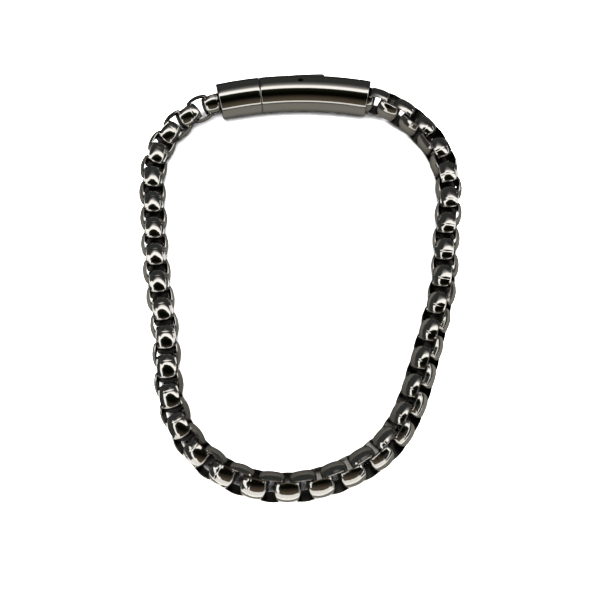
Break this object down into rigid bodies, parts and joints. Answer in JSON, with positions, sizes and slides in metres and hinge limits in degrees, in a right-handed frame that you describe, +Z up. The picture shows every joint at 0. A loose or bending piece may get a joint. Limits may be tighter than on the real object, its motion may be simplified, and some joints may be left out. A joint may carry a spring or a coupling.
{
  "type": "steel bracelet",
  "caption": "Round box chain bracelet in polished steel, closed by a curved tube clasp with a small push lever.",
  "frame": {"origin": "centre of the bracelet's box, on the surface that it lies on", "axes": "+Z up from the surface, +Y from the bottom of the loop to the clasp, +X from the clasp's short section to its long one"},
  "size_m": [0.061, 0.0808, 0.0068],
  "materials": {
    "chain_steel": "polished stainless steel, finely worn",
    "clasp_steel": "mirror polished stainless steel",
    "pin_steel": "plain turned stainless steel"
  },
  "bodies": {
    "bracelet": {"chain_left": "chain_steel", "chain_right": "chain_steel", "clasp_plug": "clasp_steel", "clasp_socket": "clasp_steel", "lever_pin": "pin_steel"},
    "lever": {"clasp_lever": "clasp_steel"}
  },
  "joints": [
    {"name": "lever_press", "type": "hinge", "parent": "bracelet", "child": "lever", "pos_m": [0.0001, 0.03697, 0.0034], "axis": [0, 0, 1], "range_deg": [-7, 0], "stiffness_Nm_per_rad": 0.08, "springref_deg": 5.73}
  ]
}
